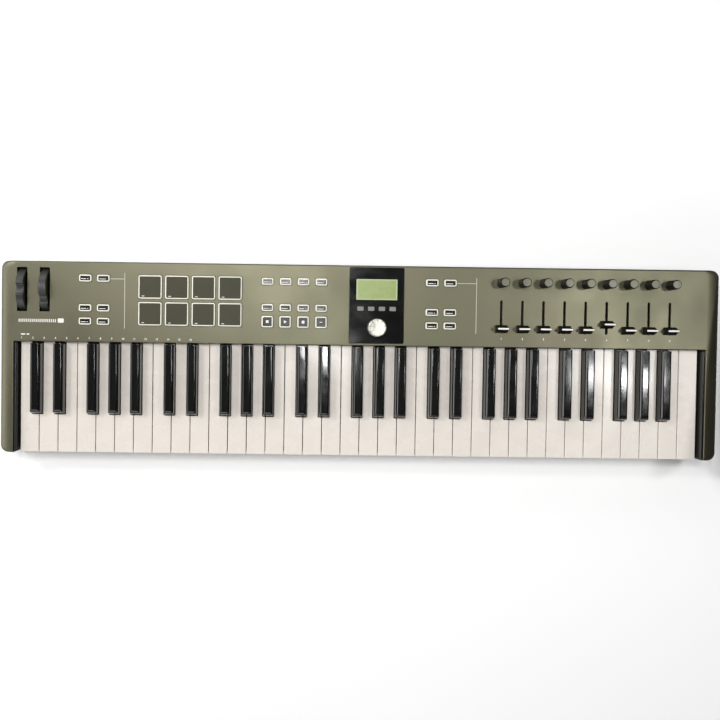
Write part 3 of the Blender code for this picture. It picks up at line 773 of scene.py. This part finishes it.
def tube_mesh(name, rings):
    """A ring-shaped piece: closed round its own section."""
    whole = bmesh.new()
    made = [[whole.verts.new(Vector(p) * MM) for p in ring] for ring in rings]
    count = len(rings[0])
    for level in range(len(rings)):
        above = (level + 1) % len(rings)
        for i in range(count):
            j = (i + 1) % count
            whole.faces.new((made[level][i], made[level][j], made[above][j], made[above][i]))
    bmesh.ops.recalc_face_normals(whole, faces=whole.faces)
    data = bpy.data.meshes.new(name)
    whole.to_mesh(data)
    whole.free()
    return data


# Keys

def sharp_centres(start):
    """Centres of the sharps of the octave that starts at this X, by the natural on their left."""
    near = 3 * KEY_PITCH / 5
    far = 4 * KEY_PITCH / 7
    middle = start + 3 * KEY_PITCH
    return {0: start + 1.5 * near, 1: start + 3.5 * near, 3: middle + 1.5 * far, 4: middle + 3.5 * far,
            5: middle + 5.5 * far}


def natural_outline(start, degree, inset, front, top_key):
    sharps = sharp_centres(start)
    left = start + degree * KEY_PITCH + KEY_GAP / 2 + inset
    right = start + (degree + 1) * KEY_PITCH - KEY_GAP / 2 - inset
    inner_left = sharps[degree - 1] + SHARP_SLOT / 2 + inset if degree - 1 in sharps else left
    inner_right = sharps[degree] - SHARP_SLOT / 2 - inset if degree in sharps and not top_key else right
    notch = SHARP_FRONT - 0.8 - inset
    rear = KEY_REAR - inset
    corners = [(left, front + inset), (right, front + inset)]
    if inner_right != right:
        corners += [(right, notch), (inner_right, notch)]
    corners += [(inner_right, rear), (inner_left, rear)]
    if inner_left != left:
        corners += [(inner_left, notch), (left, notch)]
    return soften(corners, 0.75, inset)


def arm(centre, kind):
    """The flexure and hinge block behind one key."""
    level = SPINE_Z[kind]
    flexure = block(centre - 3.5, centre + 3.5, KEY_REAR - 2, SPINE_Y[0] + 2, level, level + SPINE_T)
    hinge = block(centre - 5.4, centre + 5.4, SPINE_Y[0] + 0.5, SPINE_Y[1] - 0.2,
                  level + 0.1, level + SPINE_T + 0.3)
    return [flexure], [hinge]


def natural_key(name, start, degree, kind, body, top_key=False):
    """A natural, its front face set back under a small overhanging lip."""
    lip = 1.5
    levels = [(0.3, lip, 22.3), (0.0, lip, 22.8), (0.0, lip, NATURAL_TOP - 4.6),
              (0.0, lip * 0.85, NATURAL_TOP - 4.0), (0.0, 0.35, NATURAL_TOP - 3.5),
              (0.0, 0.0, NATURAL_TOP - 2.9)]
    levels += [(inset, 0.0, NATURAL_TOP - drop) for inset, drop in quarter(0.75, 0.75, 4)]
    rings = [[(x, y, z) for x, y in natural_outline(start, degree, inset, KEY_FRONT + back, top_key)]
             for inset, back, z in levels]
    rear = [x for x, y, z in rings[2] if y > KEY_REAR - 0.01]
    joins = arm(sum(rear) / len(rear), kind)
    piece(name, [rings], body, [IVORY], [body], joins=joins, angle=50)


def sharp_key(name, centre, body):
    """A sharp: crowned top, broad rounded shoulders, a sloped nose and steep sides."""
    half = SHARP_W / 2
    top = SHARP_HIGH.z
    low = SHARP_LOW.z
    profile = [(0.0, 0.0, low + 0.2), (0.0, 0.0, NATURAL_TOP - 0.8), (0.0, 0.0, NATURAL_TOP),
               (0.45, 2.2, top - 3.4), (0.62, 2.7, top - 2.8), (1.0, 3.3, top - 2.1),
               (1.5, 4.0, top - 1.4), (2.05, 4.7, top - 0.8),
               (2.5, 5.4, top - 0.4), (2.85, 6.0, top - 0.15), (3.3, 6.8, top - 0.03), (3.9, 7.8, top)]
    rings = []
    for side, nose, z in profile:
        rear = KEY_REAR - 0.1 if z < NATURAL_TOP - 0.5 else SHARP_REAR
        w = half - side
        radius = 1.0 if side < 1 else 1.5
        rings.append([(x, y, z) for x, y in
                      rounded(centre - w, centre + w, SHARP_FRONT + nose, rear, radius, 4)])
    piece(name, [rings], body, [JET], [body], joins=arm(centre, "sharps"), angle=60)


def keys():
    first = -KEY_PITCH * (7 * OCTAVES + 1) / 2
    for octave in range(1, OCTAVES + 1):
        start = first + 7 * KEY_PITCH * (octave - 1)
        for degree, letter in enumerate("cdefgab"):
            kind = "naturals_b" if degree % 2 else "naturals_a"
            body = f"keys_{kind}_{octave}"
            natural_key(f"key_{letter}{octave}", start, degree, kind, body)
        body = f"keys_sharps_{octave}"
        for degree, centre in sharp_centres(start).items():
            sharp_key(f"sharp_{'cdefgab'[degree]}{octave}", centre, body)
    end = first + 7 * KEY_PITCH * OCTAVES
    body = f"keys_naturals_a_{OCTAVES}"
    natural_key(f"key_c{OCTAVES + 1}", end, 0, "naturals_a", body, top_key=True)


# Wheels

def wheel_radius(degrees):
    """Rim radius by angle from the top: a scooped finger notch, and a smaller lower half."""
    away = abs(degrees)
    scoop = 13.4
    if away < scoop:
        share = 1 - (away / scoop) ** 2
        return WHEEL_R - 0.35 - 3.9 * share ** 0.42
    if away < 97:
        return WHEEL_R - 0.35 * max(0.0, 1 - (away - scoop) / 1.6)
    return WHEEL_LOW_R


def wheel_angles():
    fine = [x / 2 for x in range(-36, 37)]
    rim = list(range(20, 97, 4)) + [97]
    low = list(range(101, 180, 8)) + [180]
    return [-a for a in reversed(low[:-1])] + [-a for a in reversed(rim)] + fine + rim + low


def wheels():
    for name, rest in WHEEL_REST.items():
        low, high = node_box(name)
        x = (low.x + high.x) / 2 - WHEEL_SET
        edge = ((0.0, 1.5), (0.12, 0.9), (0.5, 0.35), (1.1, 0.06), (1.8, 0.0))
        section = [(-WHEEL_HALF + back, inset) for back, inset in edge]
        section += [(WHEEL_HALF - back, inset) for back, inset in reversed(edge)]
        rings = []
        for across, inset in section:
            ring = []
            for degrees in wheel_angles():
                angle = math.radians(degrees)
                radius = wheel_radius(degrees) - inset
                y = radius * math.sin(angle)
                z = radius * math.cos(angle)
                ring.append((x + across, WHEEL_Y + y * math.cos(rest) - z * math.sin(rest),
                             WHEEL_Z + y * math.sin(rest) + z * math.cos(rest)))
            rings.append(ring)
        axle = [[(px, WHEEL_Y + AXLE_R * math.cos(a), WHEEL_Z + AXLE_R * math.sin(a)) for a in turns(24)]
                for px in (low.x, high.x)]
        # Both side faces take the near-black copy of the rim plastic: painted shade.
        looks = [1] + [0] * (len(rings) - 1) + [1]
        piece(name + "_rim", [rings], name, [WHEEL, WHEEL_SIDE_SHADE], [name], looks=[looks],
              joins=[[axle]], angle=45)


# Pads and buttons

def cap_rings(cx, cy, width, depth, z0, z1, radius, border, step):
    """A moulded cap: rounded rim, then a small step up to the coated top."""
    outline = spot(cx, cy, width, depth, radius)
    rings = [[(x, y, z0) for x, y in outline(0)]]
    rim = z1 - step
    for inset, drop in quarter(0.5, 0.5, 3):
        rings.append([(x, y, rim - drop) for x, y in outline(inset)])
    rings.append([(x, y, rim) for x, y in outline(border)])
    rings.append([(x, y, z1 - 0.05) for x, y in outline(border + 0.05)])
    rings.append([(x, y, z1) for x, y in outline(border + 0.25)])
    looks = [0] * (len(rings) - 1) + [1, 1]
    return rings, looks


def mat(name, node, spots, radius, border, step, top, materials):
    """The silicone sheet under the panel with its raised caps; the sheet takes the black rubber look as
    painted shade for the gaps round the caps.
    """
    low, high = node_box(node)
    width, depth = high.x - low.x, high.y - low.y
    sheet = slab(spot((low.x + high.x) / 2, (low.y + high.y) / 2, width, depth, 2), low.z, low.z + 1.05, 0.2)
    # Painted shade: the pale silicone sheet is drawn black so the gaps round the caps show dark.
    piece(name + "_sheet", [sheet], node, [RUBBER_AND_GAP_SHADE], [node])
    for number, (x, y, w, d) in enumerate(spots, 1):
        rings, looks = cap_rings(x, y, w, d, low.z + 1.1, top, radius, border, step)
        piece(f"{name}_{number}", [rings], node, materials, looks=[looks], angle=50)


def bar(cx, cy, width, depth, z, radius=0.2):
    return slab(spot(cx, cy, width, depth, radius, 2), z, z + PRINT_T)


def pads_and_buttons():
    pads = [(x, y, PAD_SIZE, PAD_SIZE) for x, y in pad_spots()]
    mat("pad", "pad_mat", pads, 2.4, 1.35, 0.2, PAD_TOP_Z, [CREAM, PAD_TOP])
    marks = [bar(x - 8.6, y - 11.2, 3.2, 0.8, PAD_TOP_Z) for x, y, _, _ in pads]
    piece("pad_marks", marks, "pad_mat", [INK])
    top = BUTTON_TOP_Z
    groups = (("left", side_spots(LEFT_X)), ("middle", mid_spots()), ("right", side_spots(RIGHT_X)))
    for side, spots in groups:
        node = f"button_mat_{side}"
        mat(f"button_{side}", node, spots, 2.2, 1.55, 0.25, top, [CREAM, BUTTON_TOP])
        marks = []
        for number, (x, y, w, d) in enumerate(spots):
            if d > SIDE_KEY[1]:
                continue
            marks.append(bar(x - 1.9, y - 0.9, 6.2, 0.75, top))
            marks.append(bar(x + 3.2 - number % 2, y - 0.9, 1.6, 0.75, top))
        if side == "middle":
            marks += transport_marks(spots[8:], top)
        piece(f"button_marks_{side}", marks, node, [INK])
    node = "button_mat_display"
    mat("button_menu", node, menu_spots(), 0.9, 0.45, 0.12, MENU_TOP_Z, [GREY_KEY, GREY_KEY])


def transport_marks(spots, z):
    """Stop, play, record and a tap bar, as plain shapes."""
    stop, play, record, tap = [(x, y) for x, y, _, _ in spots]
    x, y = play
    triangle = [[(x - 1.6, y - 2.0, level), (x + 2.0, y, level), (x - 1.6, y + 2.0, level)]
                for level in (z, z + PRINT_T)]
    return [bar(*stop, 3.4, 3.4, z), triangle, slab(disc(*record, 2.0, 24), z, z + PRINT_T),
            bar(*tap, 3.6, 0.8, z)]


# Display, dial, knobs and faders

def display():
    low, high = FASCIA_LOW, FASCIA_HIGH
    plate = slab(spot(CENTRE_X, (low.y + high.y) / 2, high.x - low.x, high.y - low.y, 1.5),
                 low.z, high.z, 0.35, 0.1)
    holes = [flare(spot(CENTRE_X, GLASS_Y, GLASS[0] + 0.5, GLASS[1] + 0.5, 0.5), low.z - 2, high.z, 0.15)]
    holes += [flare(spot(x, y, w + 0.5, d + 0.5, 1.0), low.z - 2, high.z, 0.15)
              for x, y, w, d in menu_spots()]
    holes.append(flare(disc(CENTRE_X, DIAL_Y, DIAL_R + 1.3, 64), low.z - 2, high.z, 0.4))
    piece("fascia", [plate], "housing", [GLOSS], ["display_fascia"], cuts=[holes])
    low, high = MODULE_LOW, MODULE_HIGH
    frame_rings = slab(spot(CENTRE_X, GLASS_Y, high.x - low.x, high.y - low.y, 1), low.z, 46.6, 0.4)
    piece("screen_frame", [frame_rings], "housing", [STRIP], ["display_module"])
    glass = slab(spot(CENTRE_X, GLASS_Y, GLASS[0], GLASS[1], 0.4), 46.9, high.z, 0.12)
    piece("screen_glass", [glass], "housing", [SCREEN], ["display_module"])


def dial():
    """The ribbed turning cap with its stem, and the metal rotor below it."""
    low, high = DIAL_LOW, DIAL_HIGH
    r = DIAL_R
    skirt = [(r - 0.9, low.z + 2.6), (r - 0.3, low.z + 2.7), (r, low.z + 3.1)]
    side = []
    z = low.z + 3.6
    while z < high.z - 1.7:
        side += [(r, z), (r - 0.12, z + 0.25), (r, z + 0.5)]
        z += 0.9
    crown = [(r, high.z - 1.1), (r - 0.15, high.z - 0.55), (r - 0.6, high.z - 0.12),
             (r - 1.1, high.z), (r - 1.5, high.z - 0.08), (r - 1.8, high.z - 0.35),
             (r * 0.5, high.z - 0.5), (0.6, high.z - 0.55)]
    shift = Vector((CENTRE_X, DIAL_Y, 0)) * MM
    made = new_object("dial_cap", mesh_of("dial_cap", [turned(0, 0, skirt + side + crown, 96)]))
    stem = turned(0, 0, [(2.1, low.z), (2.1, low.z + 4)], 24)
    combine(made, "UNION", [stem])
    made.matrix_world = Matrix.Translation(shift)
    dress(made, "encoder_knob", ["encoder_knob"], look=SPUN)
    low, high = node_box("encoder_rotor")
    outer = (high.x - low.x) / 2
    ring = turned(CENTRE_X, DIAL_Y, [(2.5, low.z), (outer - 0.2, low.z), (outer, low.z + 0.2),
                                     (outer, high.z - 0.3), (outer - 0.3, high.z), (2.7, high.z),
                                     (2.5, high.z - 0.2)])
    hoop = new_object("dial_rotor", tube_mesh("dial_rotor", ring))
    dress(hoop, "encoder_rotor", ["encoder_rotor"], look=STEEL)


def knobs():
    for number in range(1, STRIPS + 1):
        name = f"knob_{number}"
        low, high = node_box(name)
        x = (low.x + high.x) / 2
        top = high.z
        base = CAP_BASE
        r = KNOB_R
        shaft = [(3.0, low.z), (3.0, base)]
        black = shaft + [(r - 0.35, base), (r, base + 0.35), (r, base + 1.6), (r - 0.12, base + 1.8),
                         (r - 0.16, top - 1.8), (r - 0.35, top - 1.05), (r - 0.8, top - 0.45),
                         (r - 1.05, top - 0.25)]
        cap = [(r - 1.15, top - 0.32), (r - 1.25, top - 0.12), (r - 1.5, top - 0.02), (0.5, top)]
        looks = [0] * (len(black) + 1) + [1] * len(cap)
        piece(name + "_grip", [turned(x, KNOB_Y, black + cap, 56)], name, [KNOB, CAP], [name],
              looks=[looks], angle=45)


def faders():
    """Caps with a scooped front and back that rise to a ridge with a pale line."""
    for number in range(1, STRIPS + 1):
        name = f"fader_{number}"
        low, high = node_box(name)
        x, y = (low.x + high.x) / 2, (low.y + high.y) / 2
        w, d = (high.x - low.x) / 2, (high.y - low.y) / 2
        base = CAP_BASE
        top = high.z
        levels = [(w - 0.3, d - 0.3, base), (w, d, base + 0.3), (w, d, base + 1.4),
                  (w - 0.08, d - 0.35, base + 1.9)]
        rise = top - 0.7 - (base + 1.9)
        for i in range(1, 7):
            share = i / 6
            half_depth = 1.55 + (d - 1.9) * (1 - share) ** 1.9
            levels.append((w - 0.08 - 0.35 * share, half_depth, base + 1.9 + rise * share))
        levels += [(w - 0.55, 1.4, top - 0.3), (w - 0.75, 1.15, top - 0.12), (w - 0.8, 1.0, top - 0.1),
                   (w - 0.82, 0.98, top), (w - 0.9, 0.9, top)]
        rings = []
        for half_w, half_d, z in levels:
            rings.append([(px, py, z) for px, py in rounded(x - half_w, x + half_w, y - half_d, y + half_d,
                                                           min(0.9, half_d * 0.6), 3)])
        looks = [0] * (len(levels) - 2) + [1] * 3
        stem = block(x - 0.6, x + 0.6, y - 2.0, y + 2.0, low.z, base + 0.6)
        piece(name + "_cap", [rings], name, [KNOB, INK], [name], looks=[looks],
              joins=[[stem]], angle=45)


# Print on the panel

def digits(text, x, y, z, size):
    """A number as a thin raised mesh, already in its place on the panel."""
    curve = bpy.data.curves.new("digits", "FONT")
    curve.body = text
    curve.size = size * MM
    curve.extrude = PRINT_T / 2 * MM
    curve.offset = 0.1 * MM
    curve.align_x = "CENTER"
    curve.align_y = "CENTER"
    curve.resolution_u = 3
    made = new_object("digits", curve)
    made.matrix_world = Matrix.Translation(Vector((x, y, z + PRINT_T / 2)) * MM)
    bpy.context.view_layer.update()
    graph = bpy.context.evaluated_depsgraph_get()
    data = bpy.data.meshes.new_from_object(made.evaluated_get(graph))
    data.transform(made.matrix_world)
    bpy.data.objects.remove(made)
    bpy.data.curves.remove(curve)
    return data


def gather(name, parts):
    whole = bmesh.new()
    for part in parts:
        whole.from_mesh(part)
        bpy.data.meshes.remove(part)
    data = bpy.data.meshes.new(name)
    whole.to_mesh(data)
    whole.free()
    return new_object(name, data)


def panel_print():
    """Channel and fader numbers, dividing lines, and plain ticks and a plate in place of a name."""
    z = PANEL_Z
    parts = [digits(str(i + 1), -419.2 + 13.88 * i, 23.6, z, 3.1) for i in range(16)]
    parts += [digits(str(i), strip_x(i) + 0.5, 30.0, z, 3.3) for i in range(1, STRIPS + 1)]
    dress(gather("panel_numbers", parts), "housing", look=INK)
    thin = 0.8
    left = [bar(-302.0, 97.5, 18.0, thin, z), bar(-292.7, 70.7, thin, 68.5, z)]
    right = [bar(129.7, 97.8, 24.6, thin, z), bar(142.1, 70.3, thin, 68.6, z)]
    piece("panel_lines", left + right, "housing", [PALE_INK])
    stripe = [bar(-422.4 + 2.35 * i, 45.0, 1.15, 4.0, z) for i in range(20)]
    plate = [bar(-371.2, 45.2, 7.4, 5.2, z, 1.0)]
    label = [bar(-417.4, 28.1, 5.2, 1.6, z, 0.5), bar(-411.4, 28.1, 3.4, 1.6, z, 0.5)]
    piece("panel_marks", stripe + plate + label, "housing", [INK])


def inner_looks():
    """Materials of the CAD nodes that stay: the boards, rubber, felt and wheel cradle inside the case."""
    for name, look in (("key_contact_board", BOARD), ("control_board", DARK_BOARD), ("main_board", BOARD),
                       ("key_contact_rubber", RUBBER_AND_GAP_SHADE), ("key_stop_felt", FELT), ("wheel_cradle", BASE)):
        data = frame["nodes"][name].data
        data.materials.clear()
        data.materials.append(look)


# Stage

def floor():
    """A white sheet with a faint glow; reflections don't show it."""
    side = 12000.0
    data = bpy.data.meshes.new("floor")
    corners = [Vector((x, y, -0.05)) * MM
               for x, y in ((-side, -side), (side, -side), (side, side), (-side, side))]
    data.from_pydata([tuple(c) for c in corners], [], [(0, 1, 2, 3)])
    made = new_object("floor", data)
    look = Look("floor", (0.97, 0.97, 0.97), 0.7)
    look.mottle(0.01, 2.0).set(Emission_Color=(1, 1, 1, 1), Emission_Strength=0.05)
    data.materials.append(look.material)
    made.visible_glossy = False


def flag():
    """A black board beside the right end that keeps it dark; the camera doesn't see it."""
    x, front, rear, low = 450.0, -125.0, 122.0, 52.0
    rear_rise, front_rise = 10.0, 88.0
    data = bpy.data.meshes.new("flag")
    corners = [Vector(c) * MM for c in ((x, front, low), (x, rear, low),
                                        (x, rear, low + rear_rise), (x, front, low + front_rise))]
    data.from_pydata([tuple(c) for c in corners], [], [(0, 1, 2, 3)])
    made = new_object("flag", data)
    data.materials.append(Look("flag", (0.002, 0.002, 0.002), 0.9).mottle(0.1).material)
    made.visible_camera = False


def softbox(name, place, size, power, target=(0, 0, 0)):
    light = bpy.data.lights.new(name, "AREA")
    light.shape = "RECTANGLE"
    light.size, light.size_y = (s * MM for s in size)
    light.energy = power
    made = new_object(name, light)
    here = Vector(place) * MM
    made.location = here
    made.rotation_euler = (Vector(target) * MM - here).to_track_quat("-Z", "Y").to_euler()
    made.visible_camera = False


def lights():
    """Four high lamps, bright walls left, front and rear, and two small lamps for the sharps to reflect."""
    softbox("lamp_left_high", (-1500, 900, 1500), (300, 300), 12.0)
    softbox("lamp_left_top", (-560, 650, 2000), (300, 300), 9.0)
    softbox("lamp_middle_high", (-80, 450, 2000), (300, 300), 8.0)
    softbox("lamp_right_high", (1230, 250, 2000), (240, 240), 8.5)
    softbox("wall_left", (-2400, 0, 900), (2400, 1400), 27.0, (0, 0, 200))
    softbox("wall_front", (-900, -2400, 1200), (2600, 900), 16.0)
    softbox("wall_rear", (-900, 2400, 1200), (2600, 900), 16.0)
    softbox("lamp_middle", (6, -2, 1000), (36, 104), 0.5)
    softbox("lamp_right", (765, -53, 1000), (36, 190), 0.9)


def world():
    """A white room, brighter low down and dim towards the right."""
    made = bpy.data.worlds.new("studio")
    made.use_nodes = True
    tree = made.node_tree
    back = tree.nodes["Background"]
    place = tree.nodes.new("ShaderNodeTexCoord")
    axes = tree.nodes.new("ShaderNodeSeparateXYZ")
    tree.links.new(place.outputs["Generated"], axes.inputs["Vector"])
    level = tree.nodes.new("ShaderNodeMath")
    level.operation = "MULTIPLY"
    for slot, (axis, values) in enumerate((("Z", (0.1, 0.5, 0.4, 0.1)), ("X", (0.2, 0.75, 1.0, 0.25)))):
        ramp = tree.nodes.new("ShaderNodeMapRange")
        for key, number in zip(("From Min", "From Max", "To Min", "To Max"), values):
            ramp.inputs[key].default_value = number
        tree.links.new(axes.outputs[axis], ramp.inputs["Value"])
        tree.links.new(ramp.outputs["Result"], level.inputs[slot])
    tree.links.new(level.outputs["Value"], back.inputs["Strength"])
    back.inputs["Color"].default_value = (1, 1, 1, 1)
    bpy.context.scene.world = made


def camera():
    lens = bpy.data.cameras.new("camera")
    lens.lens = 35.435
    lens.sensor_width = 36.0
    lens.shift_x = 0.0949
    lens.shift_y = -0.0017
    lens.clip_start = 0.01
    lens.clip_end = 50.0
    made = new_object("camera", lens)
    made.location = Vector((-92.0, 17.6, 927.0)) * MM
    made.rotation_euler = [math.radians(a) for a in (-1.033, -0.4, 0.768)]
    bpy.context.scene.camera = made


camera()
top_shell()
bottom_shell()
case_screws()
end_strips()
key_bed()
feet()
sockets()
keys()
wheels()
pads_and_buttons()
display()
dial()
knobs()
faders()
panel_print()
inner_looks()
floor()
flag()
lights()
world()
bpy.context.scene.view_settings.view_transform = "Standard"
